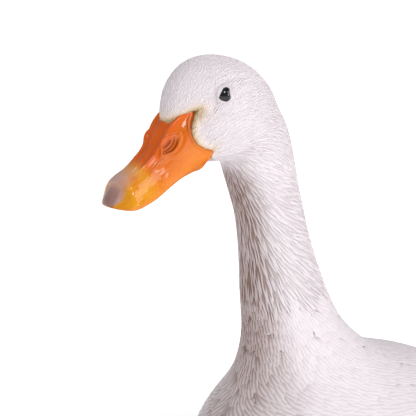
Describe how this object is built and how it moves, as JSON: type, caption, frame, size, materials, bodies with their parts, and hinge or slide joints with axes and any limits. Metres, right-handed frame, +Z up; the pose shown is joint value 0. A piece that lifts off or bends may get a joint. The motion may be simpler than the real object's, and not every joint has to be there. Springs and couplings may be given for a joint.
{
  "type": "duck statue",
  "caption": "Life-size cast-resin statue of a standing white duck with an orange bill, folded wings and webbed feet.",
  "frame": {"origin": "centre of the bounding box on the floor", "axes": "+Z up, -Y the way the duck faces, +X its left side"},
  "size_m": [0.1892, 0.457, 0.464],
  "materials": {
    "plumage": "painted off-white resin with a brown wash in the carved feathers, satin",
    "bill": "airbrushed orange under a gloss coat",
    "eye": "polished black",
    "leg": "painted orange, satin"
  },
  "bodies": {
    "root": {"head": "plumage", "neck": "plumage", "trunk": "plumage", "tail": "plumage", "bill_upper": "bill", "bill_lower": "bill", "eye_left": "eye", "eye_right": "eye", "wing_left": "plumage", "wing_right": "plumage", "thigh_left": "plumage", "thigh_right": "plumage", "shank_left": "leg", "shank_right": "leg", "foot_left": "leg", "foot_right": "leg"}
  },
  "joints": []
}
